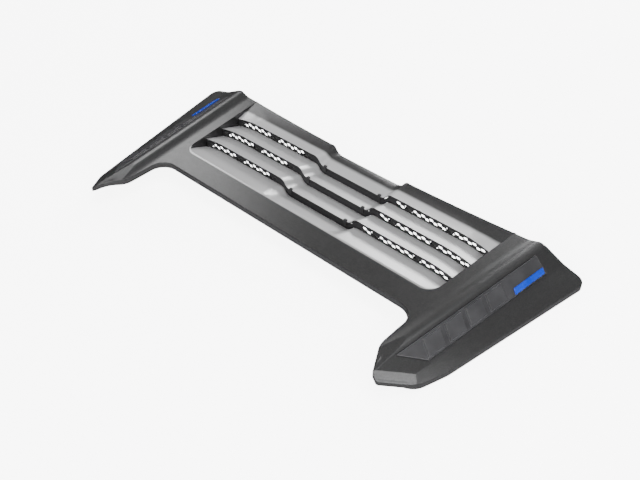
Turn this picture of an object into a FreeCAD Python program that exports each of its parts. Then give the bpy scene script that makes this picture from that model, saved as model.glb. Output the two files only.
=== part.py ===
import FreeCAD, Part
import math
import os
import Sketcher

# Hood bezel: a moulded shell with two badge arms and a louvred vent between them.
# Millimetres, X across the hood, Y to the rear, Z up.
# The origin is on the plane of the outer rims, at the middle of the bezel's box.

SIZES = {
    # Overall form
    "overall_length": 364.0,
    "nose_reach": 125.0,
    "panel_height": 38.0,
    "flange_depth": 10.0,
    "skin_wall": 3.0,
    # Section of each arm, square to its own splayed line
    "valley_half": 275.0,
    "arm_splay": 6.6,
    "crown_run": 18.0,
    "crown_rise": 6.0,
    "slope_run": 39.0,
    "knee_drop": 15.0,
    "valley_round": 40.0,
    "crown_round": 22.0,
    # Lip between the knee and the outer rim, at the panel's front edge and at the rear end
    "lip_run_front": 21.6,
    "lip_run_rear": 40.0,
    # Plan outline of the notch, the noses and the rear edge
    "notch_half": 265.0,
    "notch_round": 27.0,
    "inner_turn": 78.0,
    "inner_turn_round": 40.0,
    "tip_half": 288.0,
    "tip_setback": 4.0,
    "blunt_half": 298.0,
    "tip_round": 4.0,
    "shoulder_half": 333.0,
    "shoulder_reach": 84.0,
    "shoulder_round": 60.0,
    "rim_start": 34.0,
    "rim_start_round": 80.0,
    "rear_corner_round": 12.0,
    "rear_step_half": 331.0,
    "rear_step": 3.0,
    "rear_bow": 13.0,
    # Vent opening and louvre blades
    "vent_front": 46.0,
    "vent_half_front": 259.0,
    "vent_half_rear": 274.0,
    "vent_corner": 20.0,
    "rear_band": 34.0,
    "crease_drop": 3.0,
    "crease_channel": 7.0,
    "lead_blade": 47.5,
    "tail_blade": 27.5,
    "slot_height": 15.0,
    "blade_wall": 2.5,
    "blade_overlap": 5.0,
    "channel_half_floor": 61.0,
    "channel_half_top": 83.0,
    "channel_depth": 13.0,
    "end_turn_half": 214.0,
    "end_turn_round": 190.0,
    "end_wall_depth": 30.0,
    "rib_wall": 2.5,
    "rib_inner_half": 110.0,
    "rib_outer_half": 190.0,
    "rib_clearance": 1.5,
    # Mesh inserts behind the slots
    "insert_wall": 2.0,
    "insert_setback": 0.5,
    "insert_clearance": 0.25,
    "mesh_start_half": 92.0,
    "mesh_margin": 4.0,
    "cell_pitch": 8.0,
    "cell_height": 5.5,
    "cell_width": 9.2,
    "cell_point": 2.2,
    "cell_border": 1.3,
    "tab_width": 5.0,
    "tab_wall": 1.6,
    "tab_rise": 3.5,
    "tab_foot": 5.0,
    "tab_hook": 2.0,
    # Badge pocket and nameplate on each arm's outer slope
    "pocket_depth": 2.0,
    "pocket_back_wall": 2.5,
    "pocket_front": 78.0,
    "pocket_front_low": 42.0,
    "pocket_rear_gap": 26.0,
    "pocket_rear_slant": 6.0,
    "pocket_top": 12.0,
    "pocket_bottom": 19.0,
    "plate_clearance": 0.3,
    "plate_wall": 3.0,
    "block_front": 40.0,
    "block_gap": 9.0,
    "block_slant": 9.0,
    "block_half_height": 12.0,
    "block_centre": 4.0,
    "block_rise": 2.5,
    "accent_rear_gap": 10.0,
    "accent_length": 66.0,
    "accent_slant": 4.0,
    "accent_top": 8.0,
    "accent_height": 9.0,
    "accent_wall": 1.8,
    # Bosses, studs and locating pins on the underside
    "stud_arm_half": 287.0,
    "stud_arm_front": 20.0,
    "stud_rear_inset": 27.0,
    "stud_radius": 2.5,
    "stud_grip": 7.0,
    "stud_reach": 18.0,
    "stud_clearance": 0.1,
    "collar_radius": 5.0,
    "collar_wall": 1.5,
    "boss_radius": 6.5,
    "boss_drop": 14.0,
    "pin_radius": 3.5,
    "pin_drop": 26.0,
    "pin_half": 215.0,
    "pin_along": 24.0,
}
SIDES = (-1, 1)
SLOT_COUNT = 3
# Straight pieces that stand for each bend of a blade whose section changes along it
BEND_PIECES = 4
BLOCK_COUNT = 4
# Sizes that follow from others, as formulas in the sheet
DERIVED = {
    "arm_rear": "overall_length - nose_reach",
    "crease_line": "arm_rear - rear_band",
    "slot_pitch": f"(crease_line - vent_front - lead_blade - tail_blade) / {SLOT_COUNT - 1}",
    "pocket_rear": "arm_rear - pocket_rear_gap",
    "accent_front": "pocket_rear - accent_rear_gap - accent_length",
    "block_pitch": f"(accent_front + block_front - block_gap) / {BLOCK_COUNT}",
    "block_length": "block_pitch - block_gap",
    "stud_arm_rear": "arm_rear - stud_rear_inset",
}
# How far a cutting or trimmed solid runs past the form it meets
OVERSHOOT = 20.0
# Length of the untrimmed lip over its length as far as the rim
LIP_SHARE = 1.6
# Share of the vent's wall that the ends of the blades sink into
SEAT_SHARE = 0.6
# How far the pocket's front point moves when its edges move by one
POINT_SHARE = 2.7

doc = FreeCAD.newDocument("hood_bezel")
sheet = doc.addObject("Spreadsheet::Sheet", "Sizes")
for row, (name, value) in enumerate(SIZES.items(), start=1):
    sheet.set(f"A{row}", name)
    sheet.set(f"B{row}", str(value))
    sheet.setAlias(f"B{row}", name)
for row, (name, formula) in enumerate(DERIVED.items(), start=len(SIZES) + 1):
    sheet.set(f"A{row}", name)
    sheet.set(f"B{row}", f"={formula}")
    sheet.setAlias(f"B{row}", name)
doc.recompute()


def size(name):
    """The value of one cell of the sheet."""
    return float(sheet.get(name))


# Values worked out from the sheet
arm_rear = size("arm_rear")
front_line = size("nose_reach") - size("overall_length") / 2
skin_wall = size("skin_wall")
splay = math.radians(size("arm_splay"))
first_slot = size("vent_front") + size("lead_blade")
slots = [first_slot + number * size("slot_pitch") for number in range(SLOT_COUNT)]
blade_slope = size("slot_height") / size("slot_pitch")


def place(across, along, height):
    """A point by its place across, behind the panel's front edge and above the panel's top."""
    return FreeCAD.Vector(across, along + front_line, height + size("panel_height"))


def knee_half(along):
    """Half width of the line below the badge slope at one station."""
    knee_run = size("crown_run") + size("slope_run")
    return size("valley_half") + knee_run / math.cos(splay) + math.tan(splay) * along


def rim_half(along):
    """Half width of the outer rim at one station."""
    widening = (size("lip_run_rear") - size("lip_run_front")) * along / arm_rear
    return knee_half(along) + size("lip_run_front") + widening


def closed_wire(edges):
    """One closed wire from edges in any order."""
    return Part.Wire(Part.__sortEdges__(edges))


def rounded_path(points, radii):
    """Straight runs through the points, with an arc of its own radius at each inner point."""
    edges = []
    start = points[0]
    for before, corner, after, radius in zip(points, points[1:], points[2:], radii):
        to_before = (before - corner).normalize()
        to_after = (after - corner).normalize()
        half_turn = (math.pi - to_before.getAngle(to_after)) / 2
        reach = radius * math.tan(half_turn)
        arc_start = corner + to_before * reach
        edges.append(Part.makeLine(start, arc_start))
        start = corner + to_after * reach
        if radius > 0:
            inward = (to_before + to_after).normalize()
            middle = corner + inward * (radius / math.cos(half_turn) - radius)
            edges.append(Part.Arc(arc_start, middle, start).toShape())
    edges.append(Part.makeLine(start, points[-1]))
    return edges


def block(across, along, height):
    """A box from its ranges across, along and in height."""
    corner = place(across[0], along[0], height[0])
    return Part.makeBox(across[1] - across[0], along[1] - along[0], height[1] - height[0], corner)


def prism(wire, low, high):
    """An upright solid on a wire that lies at height zero, between two heights over the rims."""
    solid = Part.Face(wire).extrude(FreeCAD.Vector(0, 0, high - low))
    solid.translate(FreeCAD.Vector(0, 0, low))
    return solid


# Skin of the panel and both arms
def arm_slab(top_drop, bottom_drop):
    """Right arm from the flat panel over its crown to the knee, between two drops below the skin."""
    reach = size("overall_length") + OVERSHOOT
    inboard = size("valley_round") + 2 * OVERSHOOT
    half = [
        (-inboard, 0),
        (0, 0),
        (size("crown_run"), size("crown_rise")),
        (size("crown_run") + size("slope_run"), -size("knee_drop")),
    ]
    radii = (size("valley_round"), size("crown_round"))
    top = [FreeCAD.Vector(run, -reach, height - top_drop) for run, height in half]
    bottom = [FreeCAD.Vector(run, -reach, height - bottom_drop) for run, height in half]
    edges = rounded_path(top, radii) + rounded_path(bottom, radii)
    edges.append(Part.makeLine(top[0], bottom[0]))
    edges.append(Part.makeLine(top[-1], bottom[-1]))
    slab = Part.Face(closed_wire(edges)).extrude(FreeCAD.Vector(0, 2 * reach, 0))
    turn = FreeCAD.Rotation(FreeCAD.Vector(0, 0, 1), -size("arm_splay"))
    slab.Placement = FreeCAD.Placement(place(size("valley_half"), 0, 0), turn)
    return slab


def lip_slab(top_drop, bottom_drop):
    """Right arm's lip, from the knee out past the rim, between two drops below the skin."""
    fall = size("panel_height") - size("flange_depth") - size("knee_drop")
    sections = []
    for along in (-size("nose_reach") - OVERSHOOT, arm_rear + OVERSHOOT):
        knee = knee_half(along)
        past_rim = knee + LIP_SHARE * (rim_half(along) - knee)
        edge_drop = size("knee_drop") + LIP_SHARE * fall
        corners = [
            place(knee, along, -size("knee_drop") - top_drop),
            place(past_rim, along, -edge_drop - top_drop),
            place(past_rim, along, -edge_drop - bottom_drop),
            place(knee, along, -size("knee_drop") - bottom_drop),
        ]
        sections.append(Part.makePolygon(corners + corners[:1]))
    return Part.makeLoft(sections, True, True)


def skin_slab(top_drop, bottom_drop):
    """The solid between the whole skin lowered by one drop and by another."""
    half = size("valley_half") - OVERSHOOT
    panel = block((-half, half), (-size("nose_reach"), arm_rear), (-bottom_drop, -top_drop))
    right = [arm_slab(top_drop, bottom_drop), lip_slab(top_drop, bottom_drop)]
    left = [solid.mirror(FreeCAD.Vector(), FreeCAD.Vector(1, 0, 0)) for solid in right]
    return panel.fuse(right + left).removeSplitter()


def outline_wire():
    """Plan outline of the whole bezel, from the rear of the right arm round to the left."""
    rim_start = rim_half(-size("rim_start"))
    half = [
        (size("rear_step_half"), arm_rear - size("rear_step"), 0),
        (rim_half(arm_rear), arm_rear, size("rear_corner_round")),
        (rim_start, -size("rim_start"), size("rim_start_round")),
        (size("shoulder_half"), -size("shoulder_reach"), size("shoulder_round")),
        (size("blunt_half"), -size("nose_reach"), size("tip_round")),
        (size("tip_half"), size("tip_setback") - size("nose_reach"), size("tip_round")),
        (size("notch_half"), -size("inner_turn"), size("inner_turn_round")),
        (size("notch_half"), 0, size("notch_round")),
    ]
    right = [FreeCAD.Vector(across, along + front_line, 0) for across, along, radius in half]
    left = [FreeCAD.Vector(-point.x, point.y, 0) for point in reversed(right)]
    radii = [radius for across, along, radius in half]
    edges = rounded_path(right + left, radii[1:] + radii[::-1][:-1])
    rear_middle = FreeCAD.Vector(0, right[0].y - size("rear_bow"), 0)
    edges.append(Part.Arc(left[-1], rear_middle, right[0]).toShape())
    return closed_wire(edges)


def vent_wire(grow):
    """Plan outline of the vent, grown outwards, open to the rear past the bezel's edge."""
    splay = (size("vent_half_rear") - size("vent_half_front")) / (size("crease_line") - size("vent_front"))
    front = size("vent_front") - grow
    rear = arm_rear + OVERSHOOT
    rear_half = size("vent_half_front") + splay * (rear - size("vent_front")) + grow
    front_half = size("vent_half_front") - splay * grow + grow
    half = [(rear_half, rear), (front_half, front)]
    right = [FreeCAD.Vector(across, along + front_line, 0) for across, along in half]
    left = [FreeCAD.Vector(-point.x, point.y, 0) for point in reversed(right)]
    corner = size("vent_corner") + grow
    edges = rounded_path(right + left, [corner, corner])
    edges.append(Part.makeLine(left[-1], right[0]))
    return closed_wire(edges)


def vent_half(along):
    """Half width of the vent at one station."""
    share = (along - size("vent_front")) / (size("crease_line") - size("vent_front"))
    return size("vent_half_front") + (size("vent_half_rear") - size("vent_half_front")) * share


# Louvre blades, level at the sides and lowered in the middle channel
def bend_height(run, rise, share):
    """Height over the start of an arc that leaves level, at a share of its run."""
    if rise == 0:
        return 0.0
    radius = (run ** 2 + rise ** 2) / (2 * rise)
    return radius - math.copysign(math.sqrt(radius ** 2 - (share * run) ** 2), radius)


def level_bend(start, end, pieces):
    """An arc that leaves its start level and reaches its end, or straight pieces along it."""
    run = end.x - start.x
    rise = end.z - start.z
    if pieces == 1 and rise != 0:
        middle = start + FreeCAD.Vector(run / 2, 0, bend_height(run, rise, 0.5))
        return [Part.Arc(start, middle, end).toShape()]
    shares = [number / pieces for number in range(1, pieces)]
    inner = [start + FreeCAD.Vector(run * share, 0, bend_height(run, rise, share)) for share in shares]
    points = [start] + inner + [end]
    return [Part.makeLine(before, after) for before, after in zip(points, points[1:])]


def end_drop(half, dip):
    """How far a blade's line has bent down towards the vent's end wall, for a share of the full bend."""
    run = half - size("end_turn_half")
    if run <= 0 or dip == 0:
        return 0.0
    radius = size("end_turn_round") / dip
    return radius - math.sqrt(radius ** 2 - run ** 2)


def channel_edges(half, along, height, depth, dip, pieces):
    """Front view line of a blade at one station, each bend in one arc or in straight pieces."""
    floor_half = size("channel_half_floor")
    top_half = size("channel_half_top")
    floor = height - depth
    edges = [Part.makeLine(place(-floor_half, along, floor), place(floor_half, along, floor))]
    for side in SIDES:
        foot = place(side * floor_half, along, floor)
        waist = place(side * (floor_half + top_half) / 2, along, height - depth / 2)
        shoulder = place(side * top_half, along, height)
        turn = place(side * size("end_turn_half"), along, height)
        end = place(side * half, along, height - end_drop(half, dip))
        edges.append(Part.makeLine(shoulder, turn))
        for bend_start, bend_end in ((foot, waist), (shoulder, waist), (turn, end)):
            edges.extend(level_bend(bend_start, bend_end, pieces))
    return edges


def channel_section(half, along, height, depth, dip, wall, pieces=1):
    """Closed cross section of a blade of the given wall at one station."""
    edges = channel_edges(half, along, height, depth, dip, pieces)
    edges += channel_edges(half, along, height - wall, depth, dip, pieces)
    for side in SIDES:
        edge_top = place(side * half, along, height - end_drop(half, dip))
        edges.append(Part.makeLine(edge_top, edge_top - FreeCAD.Vector(0, 0, wall)))
    return closed_wire(edges)


def blade(stations, wall):
    """A blade through its stations, each a place along, a height, a channel depth and a dip of its ends."""
    half = size("vent_half_rear") + OVERSHOOT
    start, end = stations[0], stations[-1]
    if all(station[2:] == start[2:] for station in stations):
        face = Part.Face(channel_section(half, *start, wall))
        return face.extrude(FreeCAD.Vector(0, end[0] - start[0], end[1] - start[1]))
    sections = [channel_section(half, *station, wall, BEND_PIECES) for station in stations]
    return Part.makeLoft(sections, True, True)


def louvre_stations():
    """Stations of every blade that dips under the next one, from the front to the rear."""
    depth = size("channel_depth")
    past = 1 + size("blade_overlap") / size("lead_blade")
    root = (size("vent_front") - size("blade_wall"), 0, 0, 0)
    tip = (slots[0] + size("blade_overlap"), -size("slot_height") * past, depth * past, past)
    stations = [[root, tip]]
    for slot in slots[:-1]:
        end = slot + size("slot_pitch") + size("blade_overlap")
        stations.append([(slot, 0, depth, 1), (end, -(end - slot) * blade_slope, depth, 1)])
    return stations


def tail_stations():
    """Stations of the last blade, its crease and the rear band."""
    rear = arm_rear - size("rear_step") - size("rear_bow") / 2
    share = (rear - size("crease_line")) / (rear - size("rear_bow") / 2 - size("crease_line"))
    reach = rear + OVERSHOOT
    grow = (reach - size("crease_line")) / (rear - size("crease_line"))
    deepening = size("channel_depth") - size("crease_channel")
    return [
        (slots[-1], 0, size("channel_depth"), 1),
        (size("crease_line"), -size("crease_drop"), size("crease_channel"), 0),
        (reach, size("crease_drop") * (grow - 1), size("crease_channel") + deepening * share * grow, 0),
    ]


def rib_face(across):
    """Outline of one upright rib that ties the blades together under their skins."""
    sink = size("blade_wall") / 2
    behind = size("insert_setback") + size("insert_wall") + size("rib_clearance")
    lead_slope = size("slot_height") / size("lead_blade")
    bottom = -size("end_wall_depth")
    corners = [(size("vent_front"), bottom), (size("vent_front"), -sink)]
    for number, slot in enumerate(slots):
        start = size("vent_front") if number == 0 else slots[number - 1]
        slope = lead_slope if number == 0 else blade_slope
        corners.append((slot + behind, -sink - slope * (slot + behind - start)))
        tail_slope = size("crease_drop") / size("tail_blade")
        next_slope = tail_slope if slot == slots[-1] else blade_slope
        corners.append((slot + behind, -sink - next_slope * behind))
    corners.append((size("crease_line"), -sink - size("crease_drop")))
    corners.append((size("crease_line"), bottom))
    points = [place(across - size("rib_wall") / 2, along, height) for along, height in corners]
    return Part.Face(Part.makePolygon(points + points[:1]))


# Badge pockets on the outer slopes
def slope_frame(side):
    """Placement on one arm's outer slope: X to the rear, Z out of the slope."""
    rearward = FreeCAD.Vector(side * math.sin(splay), math.cos(splay), 0)
    level_out = FreeCAD.Vector(side * math.cos(splay), -math.sin(splay), 0)
    fall = size("crown_rise") + size("knee_drop")
    downhill = level_out * size("slope_run") - FreeCAD.Vector(0, 0, fall)
    outward = (downhill.cross(rearward) * side).normalize()
    turn = FreeCAD.Rotation(rearward, outward.cross(rearward), outward, "ZXY")
    crown = place(side * size("valley_half"), 0, size("crown_rise")) + level_out * size("crown_run")
    return FreeCAD.Placement(crown + downhill / 2, turn)


def pocket_prism(side, grow, low, high):
    """The pocket's outline, grown outwards, as a solid between two heights over the slope."""
    corners = [
        (-size("pocket_front") - POINT_SHARE * grow, size("pocket_top") + grow),
        (size("pocket_rear") + grow, size("pocket_top") + grow),
        (size("pocket_rear") - size("pocket_rear_slant") + grow, -size("pocket_bottom") - grow),
        (-size("pocket_front_low") - grow, -size("pocket_bottom") - grow),
    ]
    points = [FreeCAD.Vector(along, side * up, low) for along, up in corners]
    solid = Part.Face(Part.makePolygon(points + points[:1])).extrude(FreeCAD.Vector(0, 0, high - low))
    solid.Placement = slope_frame(side)
    return solid


# Moulded shell
def moulding_shape():
    """Skin, flanges, vent walls, blades, ribs and badge pockets as one solid."""
    top = size("panel_height") + OVERSHOOT
    outline = outline_wire()
    column = prism(outline, -OVERSHOOT, top)
    inner_column = prism(outline.makeOffset2D(-skin_wall), -OVERSHOOT, top)
    vent_hole = prism(vent_wire(0), -OVERSHOOT, top)
    vent_seat = prism(vent_wire(skin_wall * SEAT_SHARE), -OVERSHOOT, top)

    shell = skin_slab(0, size("flange_depth")).common(column)
    shell = shell.cut(skin_slab(skin_wall, size("flange_depth") + OVERSHOOT).common(inner_column))
    shell = shell.cut(vent_hole)

    pieces = []
    for stations in louvre_stations():
        pieces.append(blade(stations, size("blade_wall")).common(vent_seat))
    tail_seat = vent_seat.common(column)
    pieces.append(blade(tail_stations(), size("blade_wall")).common(tail_seat))
    curb = blade(tail_stations()[1:], size("flange_depth")).common(tail_seat)
    pieces.append(curb.cut(inner_column))

    wall_top = size("panel_height") - skin_wall / 2
    wall_low = size("panel_height") - size("end_wall_depth")
    walls = prism(vent_wire(skin_wall), wall_low, wall_top).cut(vent_hole).common(column)
    straight_half = size("vent_half_front") - size("vent_corner")
    straight_run = (-straight_half, straight_half)
    gap = block(straight_run, (-size("nose_reach"), arm_rear), (-size("panel_height"), OVERSHOOT))
    pieces.append(walls.cut(gap))

    for name in ("rib_inner_half", "rib_outer_half"):
        for side in SIDES:
            pieces.append(rib_face(side * size(name)).extrude(FreeCAD.Vector(size("rib_wall"), 0, 0)))
    for side in SIDES:
        back = -size("pocket_depth") - size("pocket_back_wall")
        pieces.append(pocket_prism(side, skin_wall, back, -skin_wall / 2))

    shell = shell.fuse(pieces)
    for side in SIDES:
        shell = shell.cut(pocket_prism(side, 0, -size("pocket_depth"), OVERSHOOT))
    return shell.removeSplitter()


def upright(kind, radius_name, name, radius, height, across, along, low):
    """An upright primitive whose sizes and place follow the sheet."""
    post = doc.addObject(kind, name)
    post.setExpression(radius_name, radius)
    post.setExpression("Height", height)
    post.setExpression("Placement.Base.x", across)
    post.setExpression("Placement.Base.y", f"{along} + Sizes.nose_reach - Sizes.overall_length / 2")
    post.setExpression("Placement.Base.z", low)
    return post


def cylinder(name, *sizes):
    """A round post."""
    return upright("Part::Cylinder", "Radius", name, *sizes)


def hexagon(name, *sizes):
    """A six-sided post."""
    return upright("Part::Prism", "Circumradius", name, *sizes)


STUD_PLACES = [
    (f"{side} * Sizes.{half}", f"Sizes.{along}")
    for half, along in (
        ("stud_arm_half", "stud_arm_front"),
        ("stud_arm_half", "stud_arm_rear"),
    )
    for side in SIDES
]
BOSS_LOW = "Sizes.panel_height - Sizes.boss_drop"


def add_shell():
    """The moulding with its stud bosses and locating pins, bored for the studs."""
    moulding = doc.addObject("Part::Feature", "moulding")
    moulding.Shape = moulding_shape()
    under_skin = doc.addObject("Part::Feature", "under_skin")
    under_skin.Shape = skin_slab(skin_wall / 2, 2 * size("panel_height"))
    posts = []
    bores = []
    for number, (across, along) in enumerate(STUD_PLACES, start=1):
        height = "Sizes.boss_drop + Sizes.crown_rise"
        posts.append(cylinder(f"boss_{number}", "Sizes.boss_radius", height, across, along, BOSS_LOW))
        radius = "Sizes.stud_radius + Sizes.stud_clearance"
        bores.append(cylinder(f"bore_{number}", radius, "Sizes.stud_grip", across, along, BOSS_LOW))
    for side in SIDES:
        posts.append(cylinder(
            "pin_left" if side < 0 else "pin_right",
            "Sizes.pin_radius",
            "Sizes.pin_drop",
            f"{side} * Sizes.pin_half",
            "Sizes.pin_along",
            "Sizes.panel_height - Sizes.pin_drop",
        ))
    all_posts = doc.addObject("Part::Compound", "all_posts")
    all_posts.Links = posts
    trimmed_posts = doc.addObject("Part::Common", "trimmed_posts")
    trimmed_posts.Base = all_posts
    trimmed_posts.Tool = under_skin
    body = doc.addObject("Part::Fuse", "moulding_with_posts")
    body.Base = moulding
    body.Tool = trimmed_posts
    all_bores = doc.addObject("Part::Compound", "all_bores")
    all_bores.Links = bores
    shell = doc.addObject("Part::Cut", "bezel_shell")
    shell.Base = body
    shell.Tool = all_bores
    return shell


# Mesh inserts
def cell_prism(across, along, height):
    """One six-sided mesh opening, right through an insert."""
    half_width = size("cell_width") / 2
    half_height = size("cell_height") / 2
    shoulder = half_width - size("cell_point")
    corners = [
        (-half_width, 0), (-shoulder, half_height), (shoulder, half_height),
        (half_width, 0), (shoulder, -half_height), (-shoulder, -half_height),
    ]
    points = [place(across + x, along - size("insert_wall"), height + z) for x, z in corners]
    face = Part.Face(Part.makePolygon(points + points[:1]))
    return face.extrude(FreeCAD.Vector(0, 3 * size("insert_wall"), 0))


def insert_shape(slot):
    """Black strip in one slot: mesh at both sides, plain in the channel, with two snap tabs."""
    clearance = size("insert_clearance")
    front = slot + size("insert_setback")
    back = front + size("insert_wall")
    half = vent_half(slot) - clearance
    top = -size("blade_wall") - blade_slope * (back - slot) - clearance
    bottom = -size("slot_height") - blade_slope * size("insert_setback") + clearance
    section = channel_section(half, front, top, size("channel_depth"), 1, top - bottom)
    strip = Part.Face(section).extrude(FreeCAD.Vector(0, size("insert_wall"), 0))

    travel = (top - bottom - 2 * size("cell_border") - size("cell_height")) / 2
    middle = (top + bottom) / 2
    mesh_length = half - size("mesh_margin") - size("mesh_start_half")
    columns = int((mesh_length - size("cell_width")) / size("cell_pitch")) + 1
    cells = []
    for number in range(columns):
        across = size("mesh_start_half") + size("cell_width") / 2 + number * size("cell_pitch")
        height = middle + travel * (-1) ** number - end_drop(across, 1)
        cells.extend(cell_prism(side * across, front, height) for side in SIDES)
    strip = strip.cut(Part.makeCompound(cells))

    lip = -size("channel_depth")
    foot_top = lip - size("blade_wall") - clearance
    foot_low = foot_top - size("tab_foot")
    crest = size("crease_drop") + size("crease_channel")
    last_rise = (size("channel_depth") - crest) / size("tail_blade")
    hook_low = lip + clearance + (last_rise * size("tab_hook") if slot == slots[-1] else 0)
    tab_back = slot - clearance
    tab_front = tab_back - size("tab_wall")
    for side in SIDES:
        centre = side * (size("channel_half_floor") - size("tab_width") / 2)
        width = (centre - size("tab_width") / 2, centre + size("tab_width") / 2)
        strip = strip.fuse([
            block(width, (tab_front, tab_back), (foot_low, lip + size("tab_rise"))),
            block(width, (tab_front, back), (foot_low, foot_top - blade_slope * (back - slot))),
            block(width, (tab_front, slot + size("tab_hook")), (hook_low, lip + size("tab_rise"))),
        ])
    return strip.removeSplitter()


def add_inserts():
    """One insert in each slot."""
    inserts = []
    for name, slot in zip(("front", "middle", "rear"), slots):
        insert = doc.addObject("Part::Feature", f"vent_insert_{name}")
        insert.Shape = insert_shape(slot)
        inserts.append(insert)
    return inserts


# Nameplates and accent bars
def bound_polygon(body, name, corners, height):
    """A closed sketch on a body's base plane, each corner bound to the sheet by two expressions."""
    sketch = body.newObject("Sketcher::SketchObject", name)
    plane = [item for item in body.Origin.OriginFeatures if item.Role == "XY_Plane"][0]
    sketch.AttachmentSupport = [(plane, "")]
    sketch.MapMode = "FlatFace"
    sketch.setExpression("AttachmentOffset.Base.z", height)
    count = len(corners)
    turns = [2 * math.pi * number / count for number in range(count)]
    rough = [FreeCAD.Vector(math.cos(turn), math.sin(turn), 0) * OVERSHOOT for turn in turns]
    for number, point in enumerate(rough):
        sketch.addGeometry(Part.LineSegment(point, rough[(number + 1) % count]))
    for number in range(count):
        sketch.addConstraint(Sketcher.Constraint("Coincident", number, 2, (number + 1) % count, 1))
    for number, corner in enumerate(corners):
        for kind, text, value in zip(("DistanceX", "DistanceY"), corner, rough[number]):
            index = sketch.addConstraint(Sketcher.Constraint(kind, -1, 1, number, 1, value))
            sketch.setExpression(f"Constraints[{index}]", text)
    return sketch


def add_pad(body, name, sketch, length):
    """A pad on a sketch, its length bound to the sheet."""
    pad = body.newObject("PartDesign::Pad", name)
    pad.Profile = sketch
    pad.setExpression("Length", length)
    return pad


def slanted(start, length, slant, low, high, side):
    """Corners of a bar that leans to the rear at its upper edge."""
    return [
        (f"{start}", f"{side} * ({low})"),
        (f"{start} + {length}", f"{side} * ({low})"),
        (f"{start} + {length} + {slant}", f"{side} * ({high})"),
        (f"{start} + {slant}", f"{side} * ({high})"),
    ]


def add_nameplate(side, label):
    """Gloss plate in one arm's pocket, with a row of plain raised blocks."""
    body = doc.addObject("PartDesign::Body", label)
    clear = "Sizes.plate_clearance"
    corners = [
        (f"-Sizes.pocket_front + {POINT_SHARE} * {clear}", f"{side} * (Sizes.pocket_top - {clear})"),
        (f"Sizes.pocket_rear - {clear}", f"{side} * (Sizes.pocket_top - {clear})"),
        (
            f"Sizes.pocket_rear - Sizes.pocket_rear_slant - {clear}",
            f"{side} * ({clear} - Sizes.pocket_bottom)",
        ),
        (f"-Sizes.pocket_front_low + {clear}", f"{side} * ({clear} - Sizes.pocket_bottom)"),
    ]
    outline = bound_polygon(body, f"{label}_outline", corners, "-Sizes.pocket_depth")
    add_pad(body, f"{label}_plate", outline, "Sizes.plate_wall")
    doc.recompute()
    for number in range(BLOCK_COUNT):
        start = f"{number} * Sizes.block_pitch - Sizes.block_front"
        corners = slanted(
            start, "Sizes.block_length", "Sizes.block_slant",
            "-Sizes.block_centre - Sizes.block_half_height",
            "Sizes.block_half_height - Sizes.block_centre", side,
        )
        sketch = bound_polygon(body, f"{label}_block_{number + 1}_outline", corners,
                               "Sizes.plate_wall - Sizes.pocket_depth - Sizes.plate_clearance")
        add_pad(body, f"{label}_block_{number + 1}", sketch, "Sizes.block_rise + Sizes.plate_clearance")
    body.Placement = slope_frame(side)
    return body


def add_accent(side, label):
    """Coloured bar on the rear end of one nameplate."""
    body = doc.addObject("PartDesign::Body", label)
    corners = slanted(
        "Sizes.accent_front", "Sizes.accent_length", "Sizes.accent_slant",
        "-Sizes.accent_top - Sizes.accent_height", "-Sizes.accent_top", side,
    )
    sketch = bound_polygon(body, f"{label}_outline", corners, "Sizes.plate_wall - Sizes.pocket_depth")
    add_pad(body, f"{label}_bar", sketch, "Sizes.accent_wall")
    body.Placement = slope_frame(side)
    return body


# Mounting studs
def add_studs():
    """Steel studs, each with a six-sided collar that seats on the face of its boss."""
    studs = []
    for number, (across, along) in enumerate(STUD_PLACES, start=1):
        shank = cylinder(
            f"shank_{number}", "Sizes.stud_radius", "Sizes.stud_grip + Sizes.stud_reach",
            across, along, f"{BOSS_LOW} - Sizes.stud_reach",
        )
        collar = hexagon(
            f"collar_{number}", "Sizes.collar_radius", "Sizes.collar_wall",
            across, along, f"{BOSS_LOW} - Sizes.collar_wall",
        )
        stud = doc.addObject("Part::Fuse", f"stud_{number}")
        stud.Base = shank
        stud.Tool = collar
        studs.append(stud)
    group = doc.addObject("Part::Compound", "mounting_studs")
    group.Links = studs
    return group


parts = [add_shell()] + add_inserts()
for side, hand in zip(SIDES, ("left", "right")):
    parts.append(add_nameplate(side, f"nameplate_{hand}"))
    parts.append(add_accent(side, f"accent_bar_{hand}"))
parts.append(add_studs())
for part in parts:
    part.Label = part.Name
doc.recompute()

# Every object has to be sound before anything is written
for item in doc.Objects:
    if "Invalid" in item.State or "Error" in item.State:
        raise RuntimeError(f"{item.Name} failed: {item.State}")
for part in parts:
    if part.Shape.isNull() or not part.Shape.isValid():
        raise RuntimeError(f"{part.Label} has no valid shape")

os.makedirs("parts", exist_ok=True)
for part in parts:
    part.Shape.exportStep(f"parts/{part.Label}.step")
    print(part.Label, len(part.Shape.Solids), "solids", round(part.Shape.Volume), "mm3")
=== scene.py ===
import math

import bmesh
import bpy
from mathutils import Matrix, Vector
from mathutils.bvhtree import BVHTree


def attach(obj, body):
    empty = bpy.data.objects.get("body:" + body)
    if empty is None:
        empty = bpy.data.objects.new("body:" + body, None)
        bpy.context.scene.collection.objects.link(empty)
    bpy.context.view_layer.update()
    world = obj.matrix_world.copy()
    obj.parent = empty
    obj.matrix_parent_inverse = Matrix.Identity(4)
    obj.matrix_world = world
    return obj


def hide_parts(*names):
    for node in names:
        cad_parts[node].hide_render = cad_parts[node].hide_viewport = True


bl_info = {
    "name": "Hood Bezel",
    "version": (1, 0, 0),
    "blender": (4, 5, 0),
    "location": "View3D > Sidebar > Bezel",
    "description": "Dresses a louvred hood bezel with paint, mesh inserts, nameplates and studs",
    "category": "Object",
}

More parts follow.
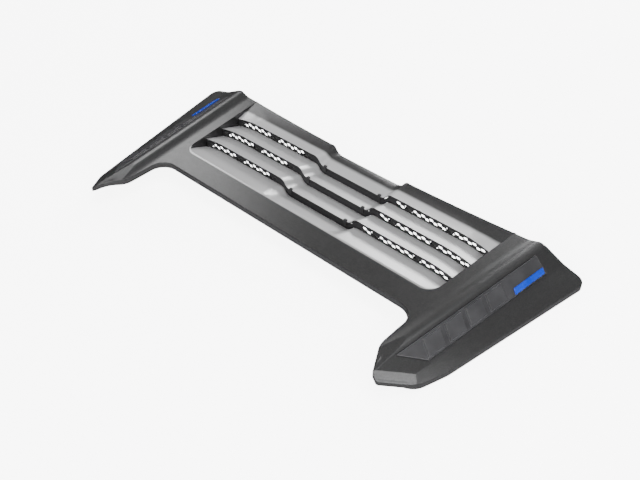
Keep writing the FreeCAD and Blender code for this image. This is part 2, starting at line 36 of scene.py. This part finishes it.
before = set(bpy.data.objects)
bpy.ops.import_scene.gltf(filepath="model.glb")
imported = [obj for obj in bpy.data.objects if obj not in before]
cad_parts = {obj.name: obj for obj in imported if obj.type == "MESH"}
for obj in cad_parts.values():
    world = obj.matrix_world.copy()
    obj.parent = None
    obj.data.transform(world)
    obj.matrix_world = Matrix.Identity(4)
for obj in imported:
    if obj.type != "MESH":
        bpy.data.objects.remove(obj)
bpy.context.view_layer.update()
SIDES = {"left": -1, "right": 1}
# Points nearer than this are joined, and faces that turn less than this are made whole
MERGE_DISTANCE = 0.00002
FLAT_TURN = math.radians(0.05)
# An edge is sharp past the corner turn, or past the crease turn between two broad faces
CORNER_TURN = math.radians(32)
CREASE_TURN = math.radians(5)
BROAD_FACE = 0.012
NORMAL_WEIGHT = 80
# The outer flange has tall upright walls under a top that looks up
RIM_WALL = 0.006
RIM_UPRIGHT = 0.1
RIM_TOP = 0.5
# The noses lie in front of this line and outside this half width
NOSE_LINE = -0.09
NOSE_HALF = 0.26
# Ends of the outer and the inner front edge of the right nose, just inside the rim
NOSE_EDGES = (((0.2996, -0.1796), (0.3207, -0.1548)), ((0.2704, -0.1442), (0.2877, -0.1765)))
SKY = 1.0
CUT_TOLERANCE = 0.000001
# The vent lies inside these lines
VENT_HALF = 0.285
VENT_FRONT = -0.016
VENT_REAR = 0.16
# Half width of the vent's painted highlight at the part's middle line, its growth towards the rear and
# its corners
VENT_MIDDLE = 0.2605
VENT_SPLAY = 0.0915
VENT_CORNER = 0.02
# The painted highlight's soft outline and the lines between which it ends at the rear
HIGHLIGHT_EDGE = 0.003
HIGHLIGHT_REAR = 0.146
HIGHLIGHT_FADE = 0.139
# Faces that look up more than this slope are marked, and only they get the painted highlight
TOP_MARK = "faces_up"
TOP_SLOPE = 0.05
# Gloss of the paint, its mottle, and how metallic it is on the shell and under the painted highlight
# in the vent
PAINT_GLOSS = (0.3, 0.36)
MOTTLE_SIZE = 0.004
SHELL_METAL = 0.55
VENT_METAL = 0.2
CLEAR_COAT = 0.08
CLEAR_ROUGHNESS = 0.35
# Share of a noise that a spread uses
NOISE_LOW = 0.3
NOISE_HIGH = 0.7
STEEL_SHADE = (0.42, 0.42, 0.43, 1.0)
# The floor's colour, which also glows, and the studio's strength
FLOOR_COLOUR = (0.9, 0.9, 0.9, 1.0)
FLOOR_GLOW = (1.0, 1.0, 1.0, 1.0)
FLOOR_STRENGTH = 6.5
STUDIO_STRENGTH = 2.6
# Brightness of the studio's walls by the height of the line of sight, with its lowest and highest
STUDIO_FADE = ((0.46, 0.12), (0.5, 0.4), (0.57, 0.34), (0.64, 0.1), (0.74, 0.03))
STUDIO_LOWEST = 0.06
STUDIO_HIGHEST = 0.02
# The studio is dimmed to this share on the left, between these two directions
DIM_LEFT = -0.75
DIM_RIGHT = -0.4
DIM_SHARE = 0.15
# Name, place, target, width, height and watts of each soft light
MIDDLE = (0, 0, 0.03)
SOFTBOXES = (
    ("rear_softbox", (-0.45, 2.7, 0.9), MIDDLE, 1.8, 0.8, 80),
    ("front_softbox", (0.6, -2.6, 1.2), MIDDLE, 2.0, 1.0, 100),
    ("panel_softbox", (-2.0, 1.1, 1.45), (-0.3, -0.05, 0.03), 0.8, 0.8, 21),
    ("nose_softbox", (1.97, 0.09, 1.42), (0.3, -0.17, 0.03), 0.7, 0.7, 26),
    ("top_softbox", (0.3, 0.2, 2.4), MIDDLE, 1.6, 1.6, 55),
)
SENSOR_WIDTH = 36.0
# Lengths of one stud in metres, from its lower end
STUD_SIZES = {
    "Stud radius": 0.0025,
    "Root radius": 0.0021,
    "Stud length": 0.025,
    "Thread start": 0.0009,
    "Thread length": 0.0148,
    "Collar radius": 0.005,
    "Collar height": 0.01725,
    "Collar thickness": 0.0015,
    "Seat height": 0.02125,
    "Seat length": 0.0065,
}
THREAD_TURNS = 18
THREAD_STEPS = 20
RIDGE_SIDES = 4
SHANK_SIDES = 24
COLLAR_SIDES = 6


class BezelFinish(bpy.types.PropertyGroup):
    """Colours and surface sizes of the finishes."""

    paint_colour: bpy.props.FloatVectorProperty(
        name="Paint", description="Graphite paint of the shell", subtype="COLOR",
        size=4, min=0.0, max=1.0, default=(0.025, 0.025, 0.0255, 1.0),
    )
    flake_colour: bpy.props.FloatVectorProperty(
        name="Flake", description="Metal flake in the paint", subtype="COLOR",
        size=4, min=0.0, max=1.0, default=(0.062, 0.062, 0.063, 1.0),
    )
    # Painted highlight: a lighter colour laid on the vent's upward faces, standing in for the light
    # the blades catch
    painted_highlight_colour: bpy.props.FloatVectorProperty(
        name="Vent paint", description="Lighter coat on the vent's blades", subtype="COLOR",
        size=4, min=0.0, max=1.0, default=(0.38, 0.38, 0.385, 1.0),
    )
    flake_size: bpy.props.FloatProperty(
        name="Flake size", description="Width of one flake", unit="LENGTH",
        default=0.0006, min=0.0001,
    )
    edge_round: bpy.props.FloatProperty(
        name="Edge round", description="Radius of the moulded edges", unit="LENGTH",
        default=0.0014, min=0.0001,
    )
    rim_round: bpy.props.FloatProperty(
        name="Rim round", description="Radius where the top rolls into the flange", unit="LENGTH",
        default=0.0012, min=0.0005,
    )
    facet_width: bpy.props.FloatProperty(
        name="Facet width", description="Width of the facets at the noses", unit="LENGTH",
        default=0.012, min=0.001,
    )
    facet_depth: bpy.props.FloatProperty(
        name="Facet depth", description="Depth of the facets at the rim", unit="LENGTH",
        default=0.0032, min=0.0001,
    )
    plate_round: bpy.props.FloatProperty(
        name="Plate round", description="Radius of the nameplates' edges", unit="LENGTH",
        default=0.0011, min=0.0001,
    )
    mesh_colour: bpy.props.FloatVectorProperty(
        name="Mesh", description="Black plastic of the inserts", subtype="COLOR",
        size=4, min=0.0, max=1.0, default=(0.011, 0.011, 0.012, 1.0),
    )
    plate_colour: bpy.props.FloatVectorProperty(
        name="Nameplate", description="Black plastic of the nameplates", subtype="COLOR",
        size=4, min=0.0, max=1.0, default=(0.026, 0.026, 0.028, 1.0),
    )
    accent_colour: bpy.props.FloatVectorProperty(
        name="Accent", description="Blue plastic of the accent bars", subtype="COLOR",
        size=4, min=0.0, max=1.0, default=(0.002, 0.03, 0.34, 1.0),
    )
    steel_colour: bpy.props.FloatVectorProperty(
        name="Steel", description="Plated steel of the studs", subtype="COLOR",
        size=4, min=0.0, max=1.0, default=(0.55, 0.55, 0.56, 1.0),
    )


class BezelStage(bpy.types.PropertyGroup):
    """Camera, floor and lights round the bezel."""

    camera_place: bpy.props.FloatVectorProperty(
        name="Camera", description="Place of the camera", subtype="TRANSLATION",
        size=3, default=(0.694, -0.726, 0.856),
    )
    camera_azimuth: bpy.props.FloatProperty(
        name="Azimuth", description="Turn of the camera round the bezel", subtype="ANGLE",
        default=math.radians(42.092),
    )
    camera_elevation: bpy.props.FloatProperty(
        name="Elevation", description="Height of the camera's line of sight", subtype="ANGLE",
        default=math.radians(41.267),
    )
    camera_lens: bpy.props.FloatProperty(
        name="Lens", description="Focal length in millimetres", default=46.69, min=1.0,
    )
    floor_half: bpy.props.FloatProperty(
        name="Floor", description="Half width of the floor", unit="LENGTH", default=8.0, min=1.0,
    )


def finish():
    return bpy.context.scene.bezel_finish


def link(obj):
    """Puts a new object in the scene."""
    bpy.context.scene.collection.objects.link(obj)
    return obj


def dress(obj, material):
    """Gives a finished piece its material and its body."""
    obj.data.materials.clear()
    obj.data.materials.append(material)
    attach(obj, "root")
    return obj


def new_material(name):
    """An empty node material with a Principled shader, its tree and the shader."""
    material = bpy.data.materials.new(name)
    material.use_nodes = True
    tree = material.node_tree
    shader = tree.nodes["Principled BSDF"]
    return material, tree, shader


def object_noise(tree, feature, detail):
    """Noise on Object coordinates whose grains are about one feature wide."""
    coordinates = tree.nodes.new("ShaderNodeTexCoord")
    noise = tree.nodes.new("ShaderNodeTexNoise")
    noise.inputs["Scale"].default_value = 1 / feature
    noise.inputs["Detail"].default_value = detail
    tree.links.new(coordinates.outputs["Object"], noise.inputs["Vector"])
    return noise


def ramp(tree, source, low, high, start, end):
    """Colours between two ends of a noise."""
    node = tree.nodes.new("ShaderNodeValToRGB")
    node.color_ramp.elements[0].position = start
    node.color_ramp.elements[0].color = low
    node.color_ramp.elements[1].position = end
    node.color_ramp.elements[1].color = high
    tree.links.new(source, node.inputs["Fac"])
    return node


def map_range(tree, source, start, end, low=0.0, high=1.0):
    """A number that runs from low to high while its source runs from start to end."""
    node = tree.nodes.new("ShaderNodeMapRange")
    node.inputs["From Min"].default_value = start
    node.inputs["From Max"].default_value = end
    node.inputs["To Min"].default_value = low
    node.inputs["To Max"].default_value = high
    tree.links.new(source, node.inputs["Value"])
    return node.outputs["Result"]


def spread(tree, source, low, high):
    """A number that follows a noise between two values."""
    return map_range(tree, source, NOISE_LOW, NOISE_HIGH, low, high)


def soft_edges(tree, shader, source, strength, depth):
    """A fine bump over normals that are rounded at the edges."""
    rounding = tree.nodes.new("ShaderNodeBevel")
    rounding.samples = 6
    rounding.inputs["Radius"].default_value = finish().edge_round
    bump = tree.nodes.new("ShaderNodeBump")
    bump.inputs["Strength"].default_value = strength
    bump.inputs["Distance"].default_value = depth
    tree.links.new(source, bump.inputs["Height"])
    tree.links.new(rounding.outputs["Normal"], bump.inputs["Normal"])
    tree.links.new(bump.outputs["Normal"], shader.inputs["Normal"])


def arithmetic(tree, operation, first, second=None):
    """A calculation on one or two sockets."""
    node = tree.nodes.new("ShaderNodeMath")
    node.operation = operation
    tree.links.new(first, node.inputs[0])
    if second:
        tree.links.new(second, node.inputs[1])
    return node


def painted_highlight_share(tree):
    """Share of the painted highlight: one on the upper side inside the vent's splayed outline, nought
    elsewhere.
    """
    coordinates = tree.nodes.new("ShaderNodeTexCoord")
    split = tree.nodes.new("ShaderNodeSeparateXYZ")
    tree.links.new(coordinates.outputs["Object"], split.inputs["Vector"])
    along = split.outputs["Y"]
    across = arithmetic(tree, "ABSOLUTE", split.outputs["X"])
    half = arithmetic(tree, "MULTIPLY_ADD", along)
    half.inputs[1].default_value = VENT_SPLAY
    half.inputs[2].default_value = VENT_MIDDLE
    inside = arithmetic(tree, "SUBTRACT", half.outputs["Value"], across.outputs["Value"])
    past_end = map_range(
        tree, inside.outputs["Value"], VENT_CORNER, -VENT_CORNER, high=2 * VENT_CORNER,
    )
    past_front = map_range(
        tree, along, VENT_FRONT + VENT_CORNER, VENT_FRONT - VENT_CORNER, high=2 * VENT_CORNER,
    )
    corner = tree.nodes.new("ShaderNodeCombineXYZ")
    tree.links.new(past_end, corner.inputs["X"])
    tree.links.new(past_front, corner.inputs["Y"])
    reach = tree.nodes.new("ShaderNodeVectorMath")
    reach.operation = "LENGTH"
    tree.links.new(corner.outputs["Vector"], reach.inputs["Vector"])
    outline = map_range(tree, reach.outputs["Value"], VENT_CORNER, VENT_CORNER - HIGHLIGHT_EDGE)
    rear = map_range(tree, along, HIGHLIGHT_REAR, HIGHLIGHT_FADE)
    area = arithmetic(tree, "MULTIPLY", outline, rear)
    top = tree.nodes.new("ShaderNodeAttribute")
    top.attribute_name = TOP_MARK
    return arithmetic(tree, "MULTIPLY", area.outputs["Value"], top.outputs["Fac"]).outputs["Value"]


def graphite_paint():
    """Satin metallic paint: fine flake, a soft mottle in the gloss, rounded edges and a painted
    highlight, a lighter and less metallic colour on the vent's upward faces.
    """
    material, tree, shader = new_material("graphite_paint")
    flake = object_noise(tree, finish().flake_size, detail=1.0)
    colour = ramp(
        tree, flake.outputs["Fac"], finish().paint_colour, finish().flake_colour,
        start=0.45, end=0.75,
    )
    # Painted highlight: the vent's upward faces are mixed towards a lighter colour, standing in for
    # the light the blades catch
    painted_highlight = tree.nodes.new("ShaderNodeMix")
    painted_highlight.data_type = "RGBA"
    painted_highlight.inputs["B"].default_value = finish().painted_highlight_colour
    vent = painted_highlight_share(tree)
    tree.links.new(vent, painted_highlight.inputs["Factor"])
    tree.links.new(colour.outputs["Color"], painted_highlight.inputs["A"])
    tree.links.new(painted_highlight.outputs["Result"], shader.inputs["Base Color"])
    mottle = object_noise(tree, MOTTLE_SIZE, detail=3.0)
    gloss = spread(tree, mottle.outputs["Fac"], *PAINT_GLOSS)
    tree.links.new(gloss, shader.inputs["Roughness"])
    # The painted highlight's area is also made less metallic so its lighter colour shows
    metal = map_range(tree, vent, 0.0, 1.0, SHELL_METAL, VENT_METAL)
    tree.links.new(metal, shader.inputs["Metallic"])
    shader.inputs["Coat Weight"].default_value = CLEAR_COAT
    shader.inputs["Coat Roughness"].default_value = CLEAR_ROUGHNESS
    soft_edges(tree, shader, flake.outputs["Fac"], strength=0.12, depth=0.00005)
    return material


def grained_plastic(name, colour, low, high, grain, strength):
    """Moulded plastic with a fine grain and an uneven gloss."""
    material, tree, shader = new_material(name)
    texture = object_noise(tree, grain, detail=2.0)
    lighter = [min(1.0, value * 1.3) for value in colour[:3]] + [1.0]
    tint = ramp(tree, texture.outputs["Fac"], colour, lighter, start=0.35, end=0.75)
    tree.links.new(tint.outputs["Color"], shader.inputs["Base Color"])
    gloss = spread(tree, texture.outputs["Fac"], low, high)
    tree.links.new(gloss, shader.inputs["Roughness"])
    soft_edges(tree, shader, texture.outputs["Fac"], strength, depth=0.00008)
    return material


def plated_steel():
    """Zinc plated steel with fine turning marks."""
    material, tree, shader = new_material("stud_steel")
    marks = object_noise(tree, 0.0008, detail=4.0)
    tint = ramp(
        tree, marks.outputs["Fac"], STEEL_SHADE, finish().steel_colour,
        start=NOISE_LOW, end=NOISE_HIGH,
    )
    tree.links.new(tint.outputs["Color"], shader.inputs["Base Color"])
    gloss = spread(tree, marks.outputs["Fac"], low=0.28, high=0.42)
    tree.links.new(gloss, shader.inputs["Roughness"])
    shader.inputs["Metallic"].default_value = 1.0
    soft_edges(tree, shader, marks.outputs["Fac"], strength=0.1, depth=0.00005)
    return material


def is_sharp(edge):
    """Whether an edge is a corner, a facet's border or a crease between two broad faces."""
    if len(edge.link_faces) != 2 or edge.seam:
        return True
    turn = edge.calc_face_angle(0.0)
    narrow = min(face.calc_area() for face in edge.link_faces) / max(edge.calc_length(), BROAD_FACE)
    return turn > CORNER_TURN or (turn > CREASE_TURN and narrow > BROAD_FACE)


def is_rim(edge):
    """Whether an edge runs along the top of the outer flange."""
    if len(edge.link_faces) != 2:
        return False
    top, wall = sorted(edge.link_faces, key=lambda face: -face.normal.z)
    heights = [corner.co.z for corner in wall.verts]
    tall = max(heights) - min(heights) > RIM_WALL
    middle = (edge.verts[0].co + edge.verts[1].co) / 2
    in_vent = abs(middle.x) < VENT_HALF and VENT_FRONT < middle.y < VENT_REAR
    upright = abs(wall.normal.z) < RIM_UPRIGHT
    return top.normal.z > RIM_TOP and upright and tall and not in_vent


def round_rim(form):
    """Rolls the shell's top over into its outer flange, behind the noses."""
    rim = [
        edge for edge in form.edges
        if is_rim(edge) and min(corner.co.y for corner in edge.verts) > NOSE_LINE
    ]
    bmesh.ops.bevel(
        form, geom=rim, offset=finish().rim_round, offset_type="OFFSET", segments=5,
        profile=0.5, affect="EDGES", clamp_overlap=False,
    )


def facet_plane(form, side, start, end):
    """A point and the upward normal of the flat cut along one front edge of a nose."""
    surface = BVHTree.FromBMesh(form)

    def on_top(place):
        return surface.ray_cast(Vector((place.x, place.y, SKY)), Vector((0.0, 0.0, -1.0)))[0]

    first = on_top(Vector((side * start[0], start[1])))
    last = on_top(Vector((side * end[0], end[1])))
    middle = on_top((first + last) / 2)
    along = last - first
    inward = Vector((-along.y, along.x, 0.0)).normalized() * side
    crest = on_top(middle + inward * finish().facet_width)
    low = middle - Vector((0.0, 0.0, finish().facet_depth))
    normal = along.cross(crest - low).normalized()
    return low, normal if normal.z > 0 else -normal


def facet_noses(form):
    """Cuts a slanted flat at the outer front edge of each nose and a nearly level one at the inner."""
    for side in SIDES.values():
        for start, end in NOSE_EDGES:
            point, normal = facet_plane(form, side, start, end)
            corners = {
                corner for corner in form.verts
                if corner.co.x * side > NOSE_HALF and corner.co.y < NOSE_LINE
            }
            faces = {face for corner in corners for face in corner.link_faces}
            edges = {edge for face in faces for edge in face.edges}
            corners |= {corner for face in faces for corner in face.verts}
            cut = bmesh.ops.bisect_plane(
                form, geom=list(faces) + list(edges) + list(corners), dist=CUT_TOLERANCE,
                plane_co=point, plane_no=normal, clear_outer=True,
            )
            border = [item for item in cut["geom_cut"] if isinstance(item, bmesh.types.BMEdge)]
            bmesh.ops.edgenet_fill(form, edges=border)
            for edge in border:
                edge.seam = True
    bmesh.ops.recalc_face_normals(form, faces=form.faces)


def shape_shell(form):
    """Facets the noses, rounds the shell's rim and marks the faces that look up, which alone take the
    painted highlight.
    """
    facet_noses(form)
    round_rim(form)
    mark = form.faces.layers.float.new(TOP_MARK)
    for face in form.faces:
        face[mark] = 1.0 if face.normal.z > TOP_SLOPE else 0.0


def round_corners(form):
    """Takes the sharpness off a plate's corners."""
    corners = [
        edge for edge in form.edges
        if len(edge.link_faces) == 2 and edge.calc_face_angle(0.0) > CORNER_TURN
    ]
    bmesh.ops.bevel(
        form, geom=corners, offset=finish().plate_round, offset_type="OFFSET", segments=2,
        profile=0.5, affect="EDGES", clamp_overlap=True,
    )


def merged_copy(node, name, shaping=None):
    """A joined copy of a CAD node's loose triangles, with flat faces made whole."""
    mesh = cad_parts[node].data.copy()
    mesh.name = name
    form = bmesh.new()
    form.from_mesh(mesh)
    bmesh.ops.remove_doubles(form, verts=form.verts, dist=MERGE_DISTANCE)
    bmesh.ops.dissolve_limit(
        form, angle_limit=FLAT_TURN, use_dissolve_boundaries=False,
        verts=form.verts, edges=form.edges,
    )
    form.normal_update()
    if shaping:
        shaping(form)
    form.normal_update()
    for edge in form.edges:
        edge.smooth = not is_sharp(edge)
    for face in form.faces:
        face.smooth = True
    form.to_mesh(mesh)
    form.free()
    piece = link(bpy.data.objects.new(name, mesh))
    weighted = piece.modifiers.new("Weighted normals", "WEIGHTED_NORMAL")
    weighted.keep_sharp = True
    weighted.weight = NORMAL_WEIGHT
    return piece


class BEZEL_OT_shell(bpy.types.Operator):
    """Paints the one-piece moulding"""

    bl_idname = "bezel.shell"
    bl_label = "Shell"

    def execute(self, context):
        shell = merged_copy("bezel_shell", "painted_shell", shape_shell)
        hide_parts("bezel_shell")
        dress(shell, graphite_paint())
        return {"FINISHED"}


class BEZEL_OT_inserts(bpy.types.Operator):
    """Gives the vent inserts their black plastic"""

    bl_idname = "bezel.inserts"
    bl_label = "Vent inserts"

    def execute(self, context):
        plastic = grained_plastic(
            "mesh_black", finish().mesh_colour, low=0.45, high=0.6, grain=0.0009, strength=0.25,
        )
        for place in ("front", "middle", "rear"):
            node = f"vent_insert_{place}"
            insert = merged_copy(node, f"mesh_insert_{place}")
            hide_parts(node)
            dress(insert, plastic)
        return {"FINISHED"}


class BEZEL_OT_nameplates(bpy.types.Operator):
    """Gives the nameplates and accent bars their gloss plastic"""

    bl_idname = "bezel.nameplates"
    bl_label = "Nameplates"

    def execute(self, context):
        black = grained_plastic(
            "nameplate_black", finish().plate_colour, low=0.3, high=0.36, grain=0.02, strength=0.01,
        )
        blue = grained_plastic(
            "accent_blue", finish().accent_colour, low=0.2, high=0.28, grain=0.02, strength=0.01,
        )
        for hand in SIDES:
            plate = merged_copy(f"nameplate_{hand}", f"plate_{hand}", round_corners)
            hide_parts(f"nameplate_{hand}")
            dress(plate, black)
            bar = merged_copy(f"accent_bar_{hand}", f"blue_bar_{hand}", round_corners)
            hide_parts(f"accent_bar_{hand}")
            dress(bar, blue)
        return {"FINISHED"}


def stud_places():
    """The lower end of each stud, from the CAD solids."""
    form = bmesh.new()
    form.from_mesh(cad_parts["mounting_studs"].data)
    bmesh.ops.remove_doubles(form, verts=form.verts, dist=MERGE_DISTANCE)
    waiting = set(form.verts)
    places = []
    while waiting:
        island = [waiting.pop()]
        for vertex in island:
            near = {edge.other_vert(vertex) for edge in vertex.link_edges} & waiting
            waiting -= near
            island.extend(near)
        low = [min(vertex.co[axis] for vertex in island) for axis in range(3)]
        high = [max(vertex.co[axis] for vertex in island) for axis in range(3)]
        places.append(((low[0] + high[0]) / 2, (low[1] + high[1]) / 2, low[2]))
    form.free()
    return sorted(places)


def stud_tree(material):
    """Node group that stands a threaded stud with a hexagonal collar on each point."""
    tree = bpy.data.node_groups.new("threaded_studs", "GeometryNodeTree")
    tree.interface.new_socket("Geometry", in_out="INPUT", socket_type="NodeSocketGeometry")
    tree.interface.new_socket("Geometry", in_out="OUTPUT", socket_type="NodeSocketGeometry")
    for name in STUD_SIZES:
        tree.interface.new_socket(name, in_out="INPUT", socket_type="NodeSocketFloat")
    sizes = tree.nodes.new("NodeGroupInput")
    result = tree.nodes.new("NodeGroupOutput")
    gather = tree.nodes.new("GeometryNodeJoinGeometry")

    def raised(source, height):
        lift = tree.nodes.new("ShaderNodeCombineXYZ")
        move = tree.nodes.new("GeometryNodeTransform")
        tree.links.new(height, lift.inputs["Z"])
        tree.links.new(source, move.inputs["Geometry"])
        tree.links.new(lift.outputs["Vector"], move.inputs["Translation"])
        tree.links.new(move.outputs["Geometry"], gather.inputs["Geometry"])

    def half(value):
        node = tree.nodes.new("ShaderNodeMath")
        node.operation = "MULTIPLY"
        node.inputs[1].default_value = 0.5
        tree.links.new(value, node.inputs[0])
        return node.outputs["Value"]

    def bar(sides, radius, depth, height):
        node = tree.nodes.new("GeometryNodeMeshCylinder")
        node.inputs["Vertices"].default_value = sides
        tree.links.new(sizes.outputs[radius], node.inputs["Radius"])
        tree.links.new(sizes.outputs[depth], node.inputs["Depth"])
        raised(node.outputs["Mesh"], height)

    bar(SHANK_SIDES, "Root radius", "Stud length", half(sizes.outputs["Stud length"]))
    bar(COLLAR_SIDES, "Collar radius", "Collar thickness", sizes.outputs["Collar height"])
    bar(SHANK_SIDES, "Stud radius", "Seat length", sizes.outputs["Seat height"])

    helix = tree.nodes.new("GeometryNodeCurveSpiral")
    helix.inputs["Resolution"].default_value = THREAD_STEPS
    helix.inputs["Rotations"].default_value = THREAD_TURNS
    tree.links.new(sizes.outputs["Root radius"], helix.inputs["Start Radius"])
    tree.links.new(sizes.outputs["Root radius"], helix.inputs["End Radius"])
    tree.links.new(sizes.outputs["Thread length"], helix.inputs["Height"])
    ridge = tree.nodes.new("GeometryNodeCurvePrimitiveCircle")
    ridge.inputs["Resolution"].default_value = RIDGE_SIDES
    depth = tree.nodes.new("ShaderNodeMath")
    depth.operation = "SUBTRACT"
    tree.links.new(sizes.outputs["Stud radius"], depth.inputs[0])
    tree.links.new(sizes.outputs["Root radius"], depth.inputs[1])
    tree.links.new(depth.outputs["Value"], ridge.inputs["Radius"])
    thread = tree.nodes.new("GeometryNodeCurveToMesh")
    thread.inputs["Fill Caps"].default_value = True
    tree.links.new(helix.outputs["Curve"], thread.inputs["Curve"])
    tree.links.new(ridge.outputs["Curve"], thread.inputs["Profile Curve"])
    raised(thread.outputs["Mesh"], sizes.outputs["Thread start"])

    stand = tree.nodes.new("GeometryNodeInstanceOnPoints")
    solid = tree.nodes.new("GeometryNodeRealizeInstances")
    paint = tree.nodes.new("GeometryNodeSetMaterial")
    paint.inputs["Material"].default_value = material
    tree.links.new(sizes.outputs["Geometry"], stand.inputs["Points"])
    tree.links.new(gather.outputs["Geometry"], stand.inputs["Instance"])
    tree.links.new(stand.outputs["Instances"], solid.inputs["Geometry"])
    tree.links.new(solid.outputs["Geometry"], paint.inputs["Geometry"])
    tree.links.new(paint.outputs["Geometry"], result.inputs["Geometry"])
    return tree


def grown_studs(material):
    """The studs as one plain mesh."""
    points = bpy.data.meshes.new("stud_points")
    points.from_pydata(stud_places(), [], [])
    studs = link(bpy.data.objects.new("plated_studs", points))
    grow = studs.modifiers.new("Studs", "NODES")
    tree = stud_tree(material)
    grow.node_group = tree
    for socket in tree.interface.items_tree:
        if socket.name in STUD_SIZES:
            grow[socket.identifier] = STUD_SIZES[socket.name]
    evaluated = studs.evaluated_get(bpy.context.evaluated_depsgraph_get())
    mesh = bpy.data.meshes.new_from_object(evaluated)
    studs.modifiers.remove(grow)
    form = bmesh.new()
    form.from_mesh(mesh)
    bmesh.ops.recalc_face_normals(form, faces=form.faces)
    form.to_mesh(mesh)
    form.free()
    studs.data = mesh
    return studs


class BEZEL_OT_studs(bpy.types.Operator):
    """Stands the threaded studs in their bosses"""

    bl_idname = "bezel.studs"
    bl_label = "Studs"

    def execute(self, context):
        steel = plated_steel()
        studs = grown_studs(steel)
        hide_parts("mounting_studs")
        dress(studs, steel)
        return {"FINISHED"}


def softbox(name, place, target, width, height, watts):
    """A rectangular light that looks at a point."""
    data = bpy.data.lights.new(name, "AREA")
    data.shape = "RECTANGLE"
    data.size = width
    data.size_y = height
    data.energy = watts
    light = link(bpy.data.objects.new(name, data))
    light.location = place
    light.rotation_euler = (Vector(target) - Vector(place)).to_track_quat("-Z", "Y").to_euler()


def pale_floor(half):
    """A glowing floor that the glossy pieces don't mirror."""
    mesh = bpy.data.meshes.new("floor")
    corners = [(-half, -half, 0), (half, -half, 0), (half, half, 0), (-half, half, 0)]
    mesh.from_pydata(corners, [], [(0, 1, 2, 3)])
    floor = link(bpy.data.objects.new("floor", mesh))
    pale, _, shader = new_material("pale_floor")
    shader.inputs["Base Color"].default_value = FLOOR_COLOUR
    shader.inputs["Roughness"].default_value = 0.9
    shader.inputs["Specular IOR Level"].default_value = 0.1
    shader.inputs["Emission Color"].default_value = FLOOR_GLOW
    shader.inputs["Emission Strength"].default_value = FLOOR_STRENGTH
    mesh.materials.append(pale)
    floor.visible_glossy = False


def grey(level):
    return (level, level, level, 1.0)


def studio_world():
    """Walls that are brightest just above the horizon and dim on the left."""
    world = bpy.data.worlds.new("studio")
    world.use_nodes = True
    tree = world.node_tree
    background = tree.nodes["Background"]
    direction = tree.nodes.new("ShaderNodeTexCoord")
    split = tree.nodes.new("ShaderNodeSeparateXYZ")
    tree.links.new(direction.outputs["Generated"], split.inputs["Vector"])
    fade = tree.nodes.new("ShaderNodeValToRGB")
    stops = fade.color_ramp.elements
    stops[0].position = 0.0
    stops[1].position = 1.0
    for height, level in STUDIO_FADE:
        stops.new(height).color = grey(level)
    stops[0].color = grey(STUDIO_LOWEST)
    stops[-1].color = grey(STUDIO_HIGHEST)
    height = map_range(tree, split.outputs["Z"], -1.0, 1.0)
    tree.links.new(height, fade.inputs["Fac"])
    side = map_range(tree, split.outputs["X"], DIM_LEFT, DIM_RIGHT, low=DIM_SHARE)
    shade = tree.nodes.new("ShaderNodeVectorMath")
    shade.operation = "SCALE"
    tree.links.new(fade.outputs["Color"], shade.inputs["Vector"])
    tree.links.new(side, shade.inputs["Scale"])
    tree.links.new(shade.outputs["Vector"], background.inputs["Color"])
    background.inputs["Strength"].default_value = STUDIO_STRENGTH
    return world


def photo_camera(stage):
    """The camera, turned by its azimuth and elevation."""
    azimuth = stage.camera_azimuth
    elevation = stage.camera_elevation
    forward = Vector((
        -math.sin(azimuth) * math.cos(elevation),
        math.cos(azimuth) * math.cos(elevation),
        -math.sin(elevation),
    ))
    data = bpy.data.cameras.new("camera")
    data.lens = stage.camera_lens
    data.sensor_width = SENSOR_WIDTH
    camera = link(bpy.data.objects.new("camera", data))
    camera.location = stage.camera_place
    camera.rotation_euler = forward.to_track_quat("-Z", "Y").to_euler()
    return camera


class BEZEL_OT_stage(bpy.types.Operator):
    """Sets the pale floor, the soft lights and the camera"""

    bl_idname = "bezel.stage"
    bl_label = "Stage"

    def execute(self, context):
        stage = context.scene.bezel_stage
        pale_floor(stage.floor_half)
        context.scene.world = studio_world()
        for box in SOFTBOXES:
            softbox(*box)
        context.scene.camera = photo_camera(stage)
        return {"FINISHED"}


class BEZEL_PT_sidebar(bpy.types.Panel):
    """Steps and sizes of the bezel"""

    bl_idname = "BEZEL_PT_sidebar"
    bl_label = "Hood Bezel"
    bl_space_type = "VIEW_3D"
    bl_region_type = "UI"
    bl_category = "Bezel"

    def draw(self, context):
        for operator in OPERATORS:
            self.layout.operator(operator.bl_idname)
        for group in (context.scene.bezel_finish, context.scene.bezel_stage):
            for name in group.__annotations__:
                self.layout.prop(group, name)


OPERATORS = (BEZEL_OT_shell, BEZEL_OT_inserts, BEZEL_OT_nameplates, BEZEL_OT_studs, BEZEL_OT_stage)
CLASSES = (BezelFinish, BezelStage) + OPERATORS + (BEZEL_PT_sidebar,)


def register():
    for item in CLASSES:
        bpy.utils.register_class(item)
    bpy.types.Scene.bezel_finish = bpy.props.PointerProperty(type=BezelFinish)
    bpy.types.Scene.bezel_stage = bpy.props.PointerProperty(type=BezelStage)


def unregister():
    del bpy.types.Scene.bezel_stage
    del bpy.types.Scene.bezel_finish
    for item in reversed(CLASSES):
        bpy.utils.unregister_class(item)


def main():
    register()
    bpy.ops.bezel.shell()
    bpy.ops.bezel.inserts()
    bpy.ops.bezel.nameplates()
    bpy.ops.bezel.studs()
    bpy.ops.bezel.stage()


if __name__ == "__main__":
    main()
